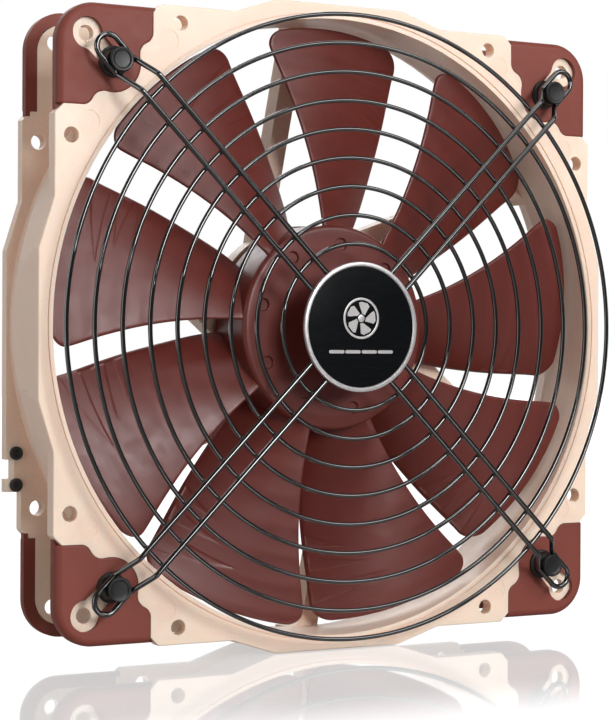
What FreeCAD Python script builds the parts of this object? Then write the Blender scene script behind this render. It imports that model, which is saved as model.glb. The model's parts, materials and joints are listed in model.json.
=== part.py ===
"""Case fan, 200 x 200 x 30 mm, with a steel wire finger guard.

Every piece is drawn with the spin axis along its own Z, the rear mounting face at Z = 0 and the
intake side at the top, and is then stood up by its Placement: the row's +X is to the right, +Z is
up, and the intake faces -Y. The row's origin is the centre of the rear mounting face.
"""
import FreeCAD, Part
import math
import os
import Sketcher
from FreeCAD import Placement, Rotation, Vector

doc = FreeCAD.newDocument("case_fan")

# ---------------------------------------------------------------------------------- dimensions

DIMENSIONS = [
    ("frame_half", 100, "half the width across the flat plateaus"),
    ("ear_half", 95.2, "half the width across the corner ears"),
    ("plateau_half", 22, "half the length of a plateau"),
    ("slope_end", 37, "where the slope from plateau to ear ends"),
    ("depth", 30, "frame depth"),
    ("flange", 4.5, "flange thickness"),
    ("duct_outer", 101.7, "outer radius of the duct wall at the front flange"),
    ("duct_middle", 101.3, "outer radius of the duct wall behind its step"),
    ("duct_rear", 99, "outer radius of the duct wall at the rear"),
    ("duct_step", 20.8, "height of the duct wall's step"),
    ("flare_top", 13.8, "front end of the duct wall's flare"),
    ("flare_low", 5.5, "rear end of the duct wall's flare"),
    ("duct_flat", 99.5, "where the duct wall is cut flat"),
    ("bore", 95.6, "air passage radius"),
    ("exit", 98.2, "air passage radius at the rear face"),
    ("exit_top", 7.5, "front end of the air passage's flare"),
    ("exit_stop", 0.6, "how far beside a strut's foot the flare stops"),
    ("inlet_line", 97.35, "outer radius of the fine groove around the inlet"),
    ("inlet_line_wide", 0.5, "width of that groove"),
    ("inlet_line_deep", 0.4, "depth of that groove"),
    ("hole", 2.35, "mounting hole radius"),
    ("pin_mark", 3.4, "radius of an ejector pin's mark"),
    ("pin_mark_depth", 0.12, "depth of an ejector pin's mark"),
    ("pin_mark_far", 84.6, "far offset of an ejector pin's mark"),
    ("pin_mark_near", 59.2, "near offset of an ejector pin's mark"),
    ("grid_large", 85, "half the spacing of the large square pattern"),
    ("grid_small", 77, "half the spacing of the small square pattern"),
    ("grid_far", 90, "far offset of the oblong patterns"),
    ("grid_near", 55, "near offset of the oblong patterns"),
    ("rear_edge", 1.2, "rounding of the rear flange's outline"),
    ("front_edge", 0.4, "rounding of the front flange's outline"),
    ("strut_depth", 7, "strut depth"),
    ("strut_half", 3.05, "half the strut width, measured across the fan"),
    ("strut_out_x", 2.2, "strut's outer end, left of the axis"),
    ("strut_out_y", 97.4, "strut's outer end, above the axis"),
    ("strut_in_x", 15.44, "strut's inner end, left of the axis"),
    ("strut_in_y", 26, "strut's inner end, above the axis"),
    ("strut_foot", 4.5, "fillet between a strut's clockwise side and the duct"),
    ("base_outer", 32.5, "motor base radius"),
    ("base_floor", 2.5, "motor base floor thickness"),
    ("base_rim", 6, "motor base rim height"),
    ("base_wall", 2, "motor base rim thickness"),
    ("boss_outer", 8.5, "radius of the boss around the bearing tube"),
    ("notch_x", 97.5, "bottom of the lead notch"),
    ("notch_top", 40.3, "upper end of the lead notch, below the axis"),
    ("notch_low", 46.1, "lower end of the lead notch, below the axis"),
    ("lead_tab", 50, "lower end of the tab beside the notch"),
    ("lead_hole", 1.7, "lead hole radius"),
    ("lead_hole_x", 96.8, "lead hole distance from the axis"),
    ("lead_hole_y1", 38.4, "upper lead hole, below the axis"),
    ("lead_hole_y2", 47.9, "lower lead hole, below the axis"),
    ("pad_half", 94.2, "half the width across the pads"),
    ("pad_lip", 1.5, "how far a pad's side wall runs on past its face"),
    ("pad_wall", 1.4, "thickness of that lip"),
    ("ear_bevel", 2.8, "bevel of the frame's outline at a pad's end"),
    ("pad_end", 64, "where a pad ends along the frame's edge"),
    ("pad_band", 83, "inner edge of a pad's band"),
    ("pad_core", 90.5, "flange edge under a pad"),
    ("pad_skin", 1.5, "pad thickness over the flange"),
    ("pad_round", 12, "pad corner radius"),
    ("pad_core_round", 8.3, "flange corner radius under a pad"),
    ("pad_toe", 3.5, "pad toe radius"),
    ("pad_lobe", 9, "radius of the lobe around the inner hole"),
    ("pad_neck", 4, "concave radius beside the lobe"),
    ("pad_edge", 2.2, "rounding of a pad's outer face edge"),
    ("pad_inner_edge", 0.6, "rounding of a pad's inner face edge"),
    ("keyhole", 4.7, "keyhole radius"),
    ("keyhole_wide", 3.5, "half width of the keyhole's mouth"),
    ("keyhole_tail", 3.2, "half width of the keyhole's tail"),
    ("keyhole_close", 79.3, "where the tail starts to close on the inner hole"),
    ("keyhole_slim", 1.5, "half width of the tail at the inner hole"),
    ("keyhole_cheek", 4, "rounding between the keyhole and its tail"),
    ("hub_outer", 32, "hub radius"),
    ("hub_wall", 1.8, "hub wall"),
    ("hub_low", 8, "rear end of the hub"),
    ("hub_top", 27, "hub face"),
    ("hub_round", 2.4, "hub shoulder radius"),
    ("blade_tip", 93.6, "blade tip radius"),
    ("blade_root", 31, "blade root radius, inside the hub's wall"),
    ("blade_count", 9, "number of blades"),
    ("blade_thick", 1.6, "blade thickness along the axis"),
    ("blade_camber", 2.0, "how far a blade bows towards the intake"),
    ("tip_lead", 23.5, "height of the leading edge at the tip"),
    ("root_lead", 25.2, "height of the leading edge at the hub"),
    ("tip_trail", 12, "height of the trailing edge at the tip"),
    ("root_trail", 9.9, "height of the trailing edge at the hub"),
    ("yoke_wall", 1.2, "rotor yoke thickness"),
    ("magnet_inner", 26.2, "magnet ring inner radius"),
    ("magnet_low", 9.5, "rear end of the magnet ring"),
    ("magnet_top", 22.5, "front end of the magnet ring"),
    ("shaft", 1.5, "shaft radius"),
    ("shaft_low", 2.6, "rear end of the shaft"),
    ("shaft_top", 24.6, "front end of the shaft"),
    ("groove", 1.15, "radius of the shaft's clip groove"),
    ("groove_low", 3.7, "rear side of the clip groove"),
    ("groove_top", 4.5, "front side of the clip groove"),
    ("clip_outer", 3, "retaining clip outer radius"),
    ("clip_thick", 0.6, "retaining clip thickness"),
    ("insert_outer", 4, "shaft insert radius"),
    ("insert_flange", 6, "shaft insert flange radius"),
    ("tube_outer", 5.5, "bearing tube outer radius"),
    ("tube_inner", 4, "bearing tube inner radius"),
    ("tube_low", 1, "rear end of the bearing tube"),
    ("tube_top", 20.5, "front end of the bearing tube"),
    ("bush_low", 5, "rear end of the bearing bush"),
    ("bush_top", 19.8, "front end of the bearing bush"),
    ("bush_play", 0.04, "radial clearance of the shaft in the bush"),
    ("core_outer", 25.7, "stator radius"),
    ("core_low", 12.5, "rear side of the stator core"),
    ("core_top", 19.5, "front side of the stator core"),
    ("core_ring", 9.5, "outer radius of the stator's centre ring"),
    ("neck_half", 3, "half width of a stator neck"),
    ("shoe_inner", 21.5, "inner radius of a pole shoe"),
    ("slot_half", 2, "half width of the gap between pole shoes"),
    ("insulator", 1.2, "insulator thickness"),
    ("insulator_half", 3.3, "half width of an insulator arm"),
    ("coil_half", 7.6, "half width of a coil"),
    ("coil_inner", 10.2, "where a coil starts"),
    ("coil_outer", 20.6, "where a coil ends"),
    ("coil_build", 1.4, "winding height over the insulator"),
    ("board_low", 6.2, "rear side of the circuit board"),
    ("board_thick", 1.2, "circuit board thickness"),
    ("board_outer", 27, "circuit board radius"),
    ("label_outer", 29, "rear label radius"),
    ("label_thick", 0.25, "rear label thickness"),
    ("ring_outer", 95.6, "outermost guard ring radius"),
    ("ring_pitch", 8.76, "spacing of the guard rings"),
    ("ring_count", 9, "number of guard rings"),
    ("ring_wire", 0.7, "guard ring wire radius"),
    ("ring_height", 40, "height of the guard rings"),
    ("arm_wire", 0.85, "guard arm wire radius"),
    ("arm_half", 3.65, "half the spacing of an arm's two legs"),
    ("arm_start", 12, "where the legs start under the badge"),
    ("arm_kink", 103, "middle of an arm's step, along the diagonal"),
    ("arm_kink_run", 7, "length of an arm's step along the diagonal"),
    ("arm_low", 34.8, "height of an arm's loop"),
    ("arm_turn", 114, "centre of the loop's turn, along the diagonal"),
    ("arm_bend", 2, "bend radius of an arm's step"),
    ("badge_outer", 19.9, "badge radius"),
    ("badge_rim", 1.4, "badge rim width"),
    ("badge_thick", 1.2, "badge thickness"),
    ("badge_sink", 0.35, "how deep the badge face sits in its rim"),
    ("stud_neck", 2.2, "guard mount radius through the flange"),
    ("stud_waist", 2.7, "guard mount radius through an arm's loop"),
    ("stud_collar", 5.4, "guard mount collar radius"),
    ("stud_head", 3.7, "guard mount head radius"),
    ("stud_top", 37, "top of a guard mount"),
    ("stud_barb", 3.4, "radius of a guard mount's barb"),
    ("stud_tail", 4.8, "length of a guard mount's barb behind the flange"),
]

sheet = doc.addObject("Spreadsheet::Sheet", "Dims")
for row, (alias, value, meaning) in enumerate(DIMENSIONS, start=1):
    sheet.set(f"A{row}", meaning)
    sheet.set(f"B{row}", str(value))
    sheet.setAlias(f"B{row}", alias)
doc.recompute()

DIM = {alias: float(sheet.get(alias)) for alias, _, _ in DIMENSIONS}

STAND_UP = Placement(Vector(0, 0, 0), Rotation(Vector(1, 0, 0), 90))
UPRIGHT = Placement()


def dims(expression):
    """Return an expression with its sheet aliases qualified, ready for setExpression."""
    words = expression.replace("(", "( ").replace(")", " )").split()
    return " ".join(f"Dims.{word}" if word in DIM else word for word in words)


def number(expression):
    """Return the value of an expression of sheet aliases."""
    return float(sheet.evalExpression(dims(expression)))


# -------------------------------------------------------------------------------- sketch tools

def new_body(label):
    body = doc.addObject("PartDesign::Body", label)
    body.Label = label
    return body


def new_sketch(body, name, role="XY_Plane", height=None):
    """Attach a sketch to one of the body's own planes, raised along its normal by a sheet size."""
    plane = next(item for item in body.Origin.OriginFeatures if item.Role == role)
    sketch = body.newObject("Sketcher::SketchObject", name)
    sketch.AttachmentSupport = [(plane, "")]
    sketch.MapMode = "FlatFace"
    if height is not None:
        sketch.setExpression("AttachmentOffset.Base.z", dims(height))
    return sketch


def pin(sketch, geometry, position, x, y):
    """Hold one point of a sketch at two expressions."""
    for kind, expression in (("DistanceX", x), ("DistanceY", y)):
        value = number(expression)
        index = sketch.addConstraint(Sketcher.Constraint(kind, -1, 1, geometry, position, value))
        sketch.setExpression(f"Constraints[{index}]", dims(expression))


def polygon(sketch, corners):
    """Draw a closed outline through corners given as pairs of expressions."""
    points = [Vector(number(x), number(y), 0) for x, y in corners]
    count = len(points)
    first = sketch.GeometryCount
    for index in range(count):
        sketch.addGeometry(Part.LineSegment(points[index], points[(index + 1) % count]), False)
    for index in range(count):
        following = first + (index + 1) % count
        sketch.addConstraint(Sketcher.Constraint("Coincident", first + index, 2, following, 1))
    for index, (x, y) in enumerate(corners):
        pin(sketch, first + index, 1, x, y)


def circle(sketch, x, y, radius):
    """Draw a circle whose centre and radius are expressions."""
    centre = Vector(number(x), number(y), 0)
    index = sketch.addGeometry(Part.Circle(centre, Vector(0, 0, 1), number(radius)), False)
    pin(sketch, index, 3, x, y)
    size = sketch.addConstraint(Sketcher.Constraint("Radius", index, number(radius)))
    sketch.setExpression(f"Constraints[{size}]", dims(radius))


def pad(body, sketch, length):
    feature = body.newObject("PartDesign::Pad", sketch.Name + "_pad")
    feature.Profile = sketch
    feature.setExpression("Length", dims(length))
    return feature


def pocket(body, sketch, length, upward=False):
    """Cut a sketch downward, or upward, and make sure that it removed material."""
    doc.recompute()
    before = body.Shape.Volume
    feature = body.newObject("PartDesign::Pocket", sketch.Name + "_cut")
    feature.Profile = sketch
    feature.setExpression("Length", dims(length))
    feature.Reversed = upward
    doc.recompute()
    if not body.Shape.Volume < before:
        raise RuntimeError(f"{feature.Name} cuts nothing")
    return feature


def repeat(body, features, count):
    """Repeat features around the body's Z axis."""
    axis = next(item for item in body.Origin.OriginFeatures if item.Role == "Z_Axis")
    pattern = body.newObject("PartDesign::PolarPattern", features[0].Name + "_ring")
    pattern.Originals = features
    pattern.Axis = (axis, [""])
    pattern.Angle = 360
    pattern.Occurrences = count
    body.Tip = pattern
    doc.recompute()
    return pattern


def round_edges(body, name, radius, wanted):
    """Fillet the body's edges that the test picks."""
    doc.recompute()
    tip = body.Tip
    names = [f"Edge{index}" for index, edge in enumerate(tip.Shape.Edges, start=1) if wanted(edge)]
    if not names:
        raise RuntimeError(f"{name}: no edge to round")
    feature = body.newObject("PartDesign::Fillet", name)
    feature.Base = (tip, names)
    feature.setExpression("Radius", dims(radius))
    doc.recompute()
    return feature


def turned(label, profile):
    """Make a body of revolution about Z from a profile of (radius, height) expressions."""
    body = new_body(label)
    sketch = new_sketch(body, label + "_profile", "XZ_Plane")
    polygon(sketch, profile)
    feature = body.newObject("PartDesign::Revolution", label + "_turn")
    feature.Profile = sketch
    feature.ReferenceAxis = (sketch, ["V_Axis"])
    feature.Angle = 360
    doc.recompute()
    return body


def washer(label, inner, outer, low, top):
    return turned(label, [(inner, low), (outer, low), (outer, top), (inner, top)])


def upright_edge(edge, x, y, reach=0.05):
    """Tell whether an edge runs along Z at a given place."""
    ends = [vertex.Point for vertex in edge.Vertexes]
    return len(ends) == 2 and all(math.hypot(p.x - x, p.y - y) < reach for p in ends)


# ---------------------------------------------------------------------------------- corner pads

def pad_blank(label):
    """A corner pad's full outline: a band along both edges and a lobe around the inner hole."""
    body = new_body(label)
    band = new_sketch(body, label + "_band", height="depth - flange")
    polygon(band, [("pad_end", "pad_half"), ("pad_end", "pad_band"), ("pad_band", "pad_band"),
                   ("pad_band", "pad_end"), ("pad_half", "pad_end"), ("pad_half", "pad_half")])
    pad(body, band, "flange")
    lobe = new_sketch(body, label + "_lobe", height="depth - flange")
    circle(lobe, "grid_small", "grid_small", "pad_lobe")
    pad(body, lobe, "flange")
    lips = new_sketch(body, label + "_lips", height="depth - flange")
    lip = [("pad_end - pad_lip", "pad_half - pad_wall"), ("pad_end + 1", "pad_half - pad_wall"),
           ("pad_end + 1", "pad_half"), ("pad_end - pad_lip", "pad_half")]
    polygon(lips, lip)
    polygon(lips, [(y, x) for x, y in lip])
    pad(body, lips, "flange - pad_edge")
    end, half, inner = DIM["pad_end"], DIM["pad_half"], DIM["pad_band"]
    lobe_drop = math.sqrt(DIM["pad_lobe"] ** 2 - (inner - DIM["grid_small"]) ** 2)
    neck = DIM["grid_small"] - lobe_drop
    round_edges(body, label + "_corner", "pad_round", lambda edge: upright_edge(edge, half, half))
    round_edges(body, label + "_toes", "pad_toe",
                lambda edge: upright_edge(edge, end, inner) or upright_edge(edge, inner, end))
    round_edges(body, label + "_necks", "pad_neck",
                lambda edge: upright_edge(edge, neck, inner) or upright_edge(edge, inner, neck))
    return body


def corner_pad(label):
    """A pad: the blank, hollowed where it grips the flange, with its keyhole and a soft edge."""
    body = pad_blank(label)
    face = DIM["depth"]

    def on_face(edge):
        return all(abs(vertex.Z - face) < 1e-4 for vertex in edge.Vertexes)

    def outside(edge):
        return all(max(vertex.X, vertex.Y) > DIM["pad_half"] - 0.01 for vertex in edge.Vertexes)

    round_edges(body, label + "_soft", "pad_edge", lambda e: on_face(e) and outside(e))
    round_edges(body, label + "_trim", "pad_inner_edge", lambda e: on_face(e) and min(
        max(vertex.X, vertex.Y) for vertex in e.Vertexes) < DIM["pad_band"] + 4)
    grip = new_sketch(body, label + "_grip", height="depth - flange")
    polygon(grip, [("0 - pad_core", "0 - pad_core"), ("pad_core", "0 - pad_core"),
                   ("pad_core", "pad_core"), ("0 - pad_core", "pad_core")])
    pocket(body, grip, "flange - pad_skin", upward=True)
    core = DIM["pad_core"]
    round_edges(body, label + "_grip_round", "pad_core_round",
                lambda edge: upright_edge(edge, core, core))
    key = new_sketch(body, label + "_key", height="depth")
    circle(key, "grid_large", "grid_large", "keyhole")
    pocket(body, key, "flange")
    tail = new_sketch(body, label + "_tail", height="depth")
    stations = [("grid_large", "keyhole_wide"), ("keyhole_close", "keyhole_tail"),
                ("grid_small", "keyhole_slim")]
    near = [(f"{at} - {half} * 0.7071", f"{at} + {half} * 0.7071") for at, half in stations]
    polygon(tail, near + [(y, x) for x, y in reversed(near)])
    pocket(body, tail, "flange")
    eye, around = DIM["grid_large"], DIM["keyhole"]

    def cheek(edge):
        ends = [vertex.Point for vertex in edge.Vertexes]
        return len(ends) == 2 and all(
            abs(math.hypot(p.x - eye, p.y - eye) - around) < 0.01 and p.x < eye for p in ends)

    round_edges(body, label + "_cheeks", "keyhole_cheek", cheek)
    hole = new_sketch(body, label + "_hole", height="depth")
    circle(hole, "grid_small", "grid_small", "hole")
    pocket(body, hole, "flange")
    return body


CORNERS = {"tr": 0, "tl": 90, "bl": 180, "br": 270}


def corner_place(corner, rear):
    """Where a pad drawn at the front top right corner goes for another corner or the rear."""
    place = Placement(Vector(0, 0, 0), Rotation(Vector(0, 0, 1), CORNERS[corner]))
    if rear:
        turn = Rotation(Vector(1, 1, 0), 180)
        place = place * Placement(Vector(0, 0, DIM["depth"]), turn)
    return place


# ---------------------------------------------------------------------------------------- frame

def round_outline(body, radius, height):
    """Round the outer outline of the frame where it meets one of its faces."""
    reach = DIM["ear_half"] - 0.01

    def outline(edge):
        ends = [vertex.Point for vertex in edge.Vertexes]
        flat = all(abs(p.z - height) < 1e-4 for p in ends)
        outside = all(max(abs(p.x), abs(p.y)) > reach for p in ends)
        return len(ends) == 2 and flat and outside and edge.Length > 1

    round_edges(body, radius + "_round", radius, outline)


def frame_blank():
    body = turned("frame_blank", [("0", "0"), ("duct_rear", "0"), ("duct_rear", "flare_low"),
                                  ("duct_middle", "flare_top"), ("duct_middle", "duct_step"),
                                  ("duct_outer", "duct_step"), ("duct_outer", "depth"),
                                  ("0", "depth")])
    flats = new_sketch(body, "duct_flats", height="depth")
    polygon(flats, [("duct_flat", "0 - frame_half"), ("duct_outer + 1", "0 - frame_half"),
                    ("duct_outer + 1", "frame_half"), ("duct_flat", "frame_half")])
    flat_cut = pocket(body, flats, "depth")
    repeat(body, [flat_cut], 4)
    quarter = [("plateau_half", "frame_half"), ("slope_end", "ear_half"), ("ear_half", "ear_half"),
               ("ear_half", "slope_end"), ("frame_half", "plateau_half")]
    outline = list(quarter)
    for _ in range(3):
        quarter = [(y, f"0 - {x}" if not x.startswith("0 - ") else x[4:]) for x, y in quarter]
        outline += quarter
    for name, height in (("rear_flange", "0"), ("front_flange", "depth - flange")):
        flange = new_sketch(body, name, height=height)
        polygon(flange, outline)
        pad(body, flange, "flange")
    lead_ear = new_sketch(body, "lead_ear")
    polygon(lead_ear, [("0 - frame_half", "0"), ("0 - frame_half", "0 - lead_tab"),
                       ("0 - ear_half + 2", "0 - lead_tab"), ("0 - ear_half + 2", "0")])
    pad(body, lead_ear, "flange")
    round_outline(body, "rear_edge", 0)
    round_outline(body, "front_edge", DIM["depth"])
    passage = new_sketch(body, "air_passage", height="depth")
    circle(passage, "0", "0", "bore")
    pocket(body, passage, "depth")
    line = new_sketch(body, "inlet_line", height="depth")
    circle(line, "0", "0", "inlet_line")
    circle(line, "0", "0", "inlet_line - inlet_line_wide")
    pocket(body, line, "inlet_line_deep")
    return body


def add_struts(body):
    """Six swept struts, the motor base and its boss, all at the rear."""
    strut = new_sketch(body, "strut")
    # Both ends are buried, one in the duct wall and one in the motor base.
    polygon(strut, [("0 - strut_in_x - strut_half", "strut_in_y"),
                    ("0 - strut_in_x + strut_half", "strut_in_y"),
                    ("0 - strut_out_x + strut_half", "strut_out_y"),
                    ("0 - strut_out_x - strut_half", "strut_out_y")])
    repeat(body, [pad(body, strut, "strut_depth")], 6)
    depth, bore = DIM["strut_depth"], DIM["bore"]

    def foot(edge):
        ends = [vertex.Point for vertex in edge.Vertexes]
        on_bore = all(abs(math.hypot(p.x, p.y) - bore) < 0.01 for p in ends)
        # The first strut stands a little past 90 degrees, and its clockwise side just before.
        clockwise = math.degrees(math.atan2(ends[0].y, ends[0].x)) % 60 < 30
        return (len(ends) == 2 and on_bore and clockwise
                and depth - 3 < abs(ends[0].z - ends[1].z) < depth + 1)

    round_edges(body, "strut_feet", "strut_foot", foot)
    base = new_sketch(body, "motor_base")
    circle(base, "0", "0", "base_outer")
    pad(body, base, "strut_depth")
    well = new_sketch(body, "motor_well", height="strut_depth")
    circle(well, "0", "0", "base_outer - base_wall")
    pocket(body, well, "strut_depth - base_floor")
    rim = new_sketch(body, "rim_height", height="strut_depth")
    circle(rim, "0", "0", "base_outer")
    pocket(body, rim, "strut_depth - base_rim")
    boss = new_sketch(body, "bearing_boss")
    circle(boss, "0", "0", "boss_outer")
    pad(body, boss, "base_rim")
    tube = new_sketch(body, "tube_seat", height="base_rim")
    circle(tube, "0", "0", "tube_outer")
    pocket(body, tube, "base_rim - tube_low")
    label = new_sketch(body, "label_seat")
    circle(label, "0", "0", "label_outer + 0.4")
    pocket(body, label, "label_thick", upward=True)


def add_holes(body):
    places = [("grid_large", "grid_large"), ("grid_small", "grid_small"),
              ("grid_far", "grid_near"), ("grid_near", "grid_far")]
    holes = new_sketch(body, "mounting_holes", height="depth")
    for x, y in places:
        circle(holes, x, y, "hole")
    repeat(body, [pocket(body, holes, "depth")], 4)
    marks = new_sketch(body, "pin_marks", height="depth")
    circle(marks, "pin_mark_far", "pin_mark_near", "pin_mark")
    circle(marks, "pin_mark_near", "pin_mark_far", "pin_mark")
    repeat(body, [pocket(body, marks, "pin_mark_depth")], 4)
    notch = new_sketch(body, "lead_notch", height="flange")
    polygon(notch, [("0 - frame_half - 1", "0 - notch_top"), ("0 - frame_half - 1", "0 - notch_low"),
                    ("0 - notch_x", "0 - notch_low"), ("0 - notch_x", "0 - notch_top")])
    pocket(body, notch, "flange")
    leads = new_sketch(body, "lead_holes", height="flange")
    circle(leads, "0 - lead_hole_x", "0 - lead_hole_y1", "lead_hole")
    circle(leads, "0 - lead_hole_x", "0 - lead_hole_y2", "lead_hole")
    pocket(body, leads, "flange")


def exit_flare():
    """The space that widens the air passage at the rear, apart from the struts' feet."""
    body = turned("exit_flare", [("bore - 1", "0 - 1"), ("exit", "0 - 1"), ("exit", "0"),
                                 ("bore", "exit_top"), ("bore - 1", "exit_top")])
    feet = new_sketch(body, "flare_stops", height="exit_top")
    left = "0 - strut_out_x - strut_half - exit_stop"
    right = "strut_half + strut_foot - strut_out_x + exit_stop"
    polygon(feet, [(left, "bore - 9"), (right, "bore - 9"), (right, "exit + 1"),
                   (left, "exit + 1")])
    repeat(body, [pocket(body, feet, "exit_top + 1")], 6)
    return body


def build_frame():
    body = frame_blank()
    add_struts(body)
    add_holes(body)
    spaces = [exit_flare()]
    for rear in (False, True):
        for corner in CORNERS:
            side = "rear" if rear else "front"
            space = pad_blank(f"pad_space_{side}_{corner}")
            core = new_sketch(space, space.Name + "_core", height="depth - flange")
            polygon(core, [("0 - pad_core", "0 - pad_core"), ("pad_core", "0 - pad_core"),
                           ("pad_core", "pad_core"), ("0 - pad_core", "pad_core")])
            pocket(space, core, "flange - pad_skin", upward=True)
            edge = DIM["pad_core"]
            round_edges(space, space.Name + "_core_round", "pad_core_round",
                        lambda e: upright_edge(e, edge, edge))
            # The ear's own square corner, outside the pad, goes too.
            sliver = new_sketch(space, space.Name + "_ear", height="depth - flange")
            near = [("pad_end - ear_bevel - 1", "ear_half + 1"),
                    ("pad_end", "ear_half - ear_bevel"), ("pad_end + 1", "pad_half - 1"),
                    ("pad_half - 9", "pad_half - 1")]
            polygon(sliver, near + [(y, x) for x, y in reversed(near)]
                    + [("ear_half + 1", "ear_half + 1")])
            pad(space, sliver, "flange")
            space.Placement = corner_place(corner, rear)
            spaces.append(space)
    doc.recompute()
    tools = doc.addObject("Part::MultiFuse", "frame_spaces")
    tools.Shapes = spaces
    frame = doc.addObject("Part::Cut", "frame")
    frame.Base = body
    frame.Tool = tools
    return frame


# ------------------------------------------------------------------------------------- impeller

# How far the edges of a blade stand from its middle line, in degrees, at radii in millimetres.
LEADING = [(28, 6.0), (45, 7.4), (62, 9.8), (77, 12.3), (88, 14.1), (92.2, 12.9), (93.6, 10.5)]
TRAILING = [(28, -27.3), (38, -26.6), (52, -24.4), (66, -22.6), (84, -20.4), (91.6, -18.6),
            (93.6, -15.5)]


def edge_angle(edge, radius):
    """Angle of a blade's edge at a radius, straight between the listed places."""
    for (near, low), (far, high) in zip(edge, edge[1:]):
        if radius <= far:
            break
    part = (radius - near) / (far - near)
    return low + (high - low) * part


def blade_height(radius, angle):
    """Height of a blade's middle surface, from its trailing to its leading edge."""
    span = (radius - DIM["hub_outer"]) / (DIM["blade_tip"] - DIM["hub_outer"])
    lead = DIM["root_lead"] + (DIM["tip_lead"] - DIM["root_lead"]) * span
    trail = DIM["root_trail"] + (DIM["tip_trail"] - DIM["root_trail"]) * span
    body_radius = min(radius, 84)
    low, high = edge_angle(TRAILING, body_radius), edge_angle(LEADING, body_radius)
    part = (angle - low) / (high - low)
    return trail + (lead - trail) * part + DIM["blade_camber"] * 4 * part * (1 - part)


def blade_section(distance):
    """A closed thin section across a blade, in a plane square to its middle line."""
    middle = -3.5
    reach = 4 + distance * math.tan(math.radians(19.5))
    steps = 8
    half = DIM["blade_thick"] / 2
    faces = []
    for side in (half, -half):
        points = []
        for index in range(steps + 1):
            across = reach * (2 * index / steps - 1)
            radius = math.hypot(distance, across)
            angle = middle + math.degrees(math.atan2(across, distance))
            points.append(Vector(distance, across, blade_height(radius, angle) + side))
        curve = Part.BSplineCurve()
        curve.interpolate(points)
        faces.append((curve.toShape(), points))
    (upper, top), (lower, low) = faces
    ends = [Part.makeLine(top[-1], low[-1]), Part.makeLine(low[0], top[0])]
    return Part.Wire(Part.__sortEdges__([upper, lower] + ends))


def blade_outline():
    """A blade's outline seen from the intake, as a prism through its whole height."""
    middle = 3.5
    points = [(DIM["blade_root"], LEADING[0][1])] + LEADING[1:]
    back = [(DIM["blade_root"], TRAILING[0][1])] + TRAILING[1:]

    def place(radius, angle):
        turn = math.radians(angle + middle)
        return Vector(radius * math.cos(turn), radius * math.sin(turn), 0)

    curves = []
    for side in (points, back):
        curve = Part.BSplineCurve()
        curve.interpolate([place(radius, angle) for radius, angle in side])
        curves.append(curve.toShape())
    tip = Part.Arc(place(DIM["blade_tip"], points[-1][1]), place(DIM["blade_tip"], -2.5),
                   place(DIM["blade_tip"], back[-1][1])).toShape()
    root = Part.Arc(place(DIM["blade_root"], points[0][1]), place(DIM["blade_root"], -10),
                    place(DIM["blade_root"], back[0][1])).toShape()
    wire = Part.Wire(Part.__sortEdges__([curves[0], tip, curves[1], root]))
    return Part.Face(wire).extrude(Vector(0, 0, DIM["depth"]))


def build_blades():
    sections = [blade_section(distance) for distance in (22, 36, 50, 64, 78, 96)]
    blade = Part.makeLoft(sections, True, False).common(blade_outline())
    pitch = 360 / DIM["blade_count"]
    blades = []
    for index in range(int(DIM["blade_count"])):
        feature = doc.addObject("Part::Feature", f"blade_{index + 1}")
        feature.Shape = blade
        turn = Rotation(Vector(0, 0, 1), 90 - 3.5 + pitch * index)
        feature.Placement = Placement(Vector(0, 0, 0), turn)
        blades.append(feature)
    return blades


def build_impeller():
    inner = "hub_outer - hub_wall"
    hub = turned("hub", [("0", "hub_top - hub_wall"), (inner, "hub_top - hub_wall"),
                         (inner, "hub_low"), ("hub_outer", "hub_low"),
                         ("hub_outer", "hub_top"), ("0", "hub_top")])
    top, outer = DIM["hub_top"], DIM["hub_outer"]

    def shoulder(edge):
        return all(abs(v.Z - top) < 1e-4 and abs(math.hypot(v.X, v.Y) - outer) < 1e-3
                   for v in edge.Vertexes)

    round_edges(hub, "hub_shoulder", "hub_round", shoulder)
    impeller = doc.addObject("Part::MultiFuse", "impeller")
    impeller.Refine = False
    impeller.Shapes = [hub] + build_blades()
    return impeller


# ---------------------------------------------------------------------------------------- motor

def build_rotor():
    cup = "hub_outer - hub_wall"
    skirt = "hub_outer - hub_wall - yoke_wall"
    roof = "hub_top - hub_wall"
    yoke = turned("rotor_yoke", [("insert_outer", f"{roof} - yoke_wall"),
                                 (skirt, f"{roof} - yoke_wall"), (skirt, "hub_low + 0.5"),
                                 (cup, "hub_low + 0.5"), (cup, roof), ("insert_outer", roof)])
    magnet = washer("rotor_magnet", "magnet_inner", skirt, "magnet_low", "magnet_top")
    insert = turned("shaft_insert", [("shaft", "shaft_top - 3.2"), ("insert_flange", "shaft_top - 3.2"),
                                     ("insert_flange", f"{roof} - yoke_wall"),
                                     ("insert_outer", f"{roof} - yoke_wall"),
                                     ("insert_outer", roof), ("shaft", roof)])
    shaft = turned("shaft", [("0", "shaft_low"), ("shaft", "shaft_low"), ("shaft", "groove_low"),
                             ("groove", "groove_low"), ("groove", "groove_top"),
                             ("shaft", "groove_top"), ("shaft", roof), ("0", roof)])
    clip = washer("retaining_clip", "groove", "clip_outer", "groove_low + 0.1",
                  "groove_low + 0.1 + clip_thick")
    split = new_sketch(clip, "clip_split", height="groove_top")
    polygon(split, [("0", "0 - 0.4"), ("clip_outer + 1", "0 - 0.4"), ("clip_outer + 1", "0.4"),
                    ("0", "0.4")])
    pocket(clip, split, "1")
    return [yoke, magnet, insert, shaft, clip]


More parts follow.
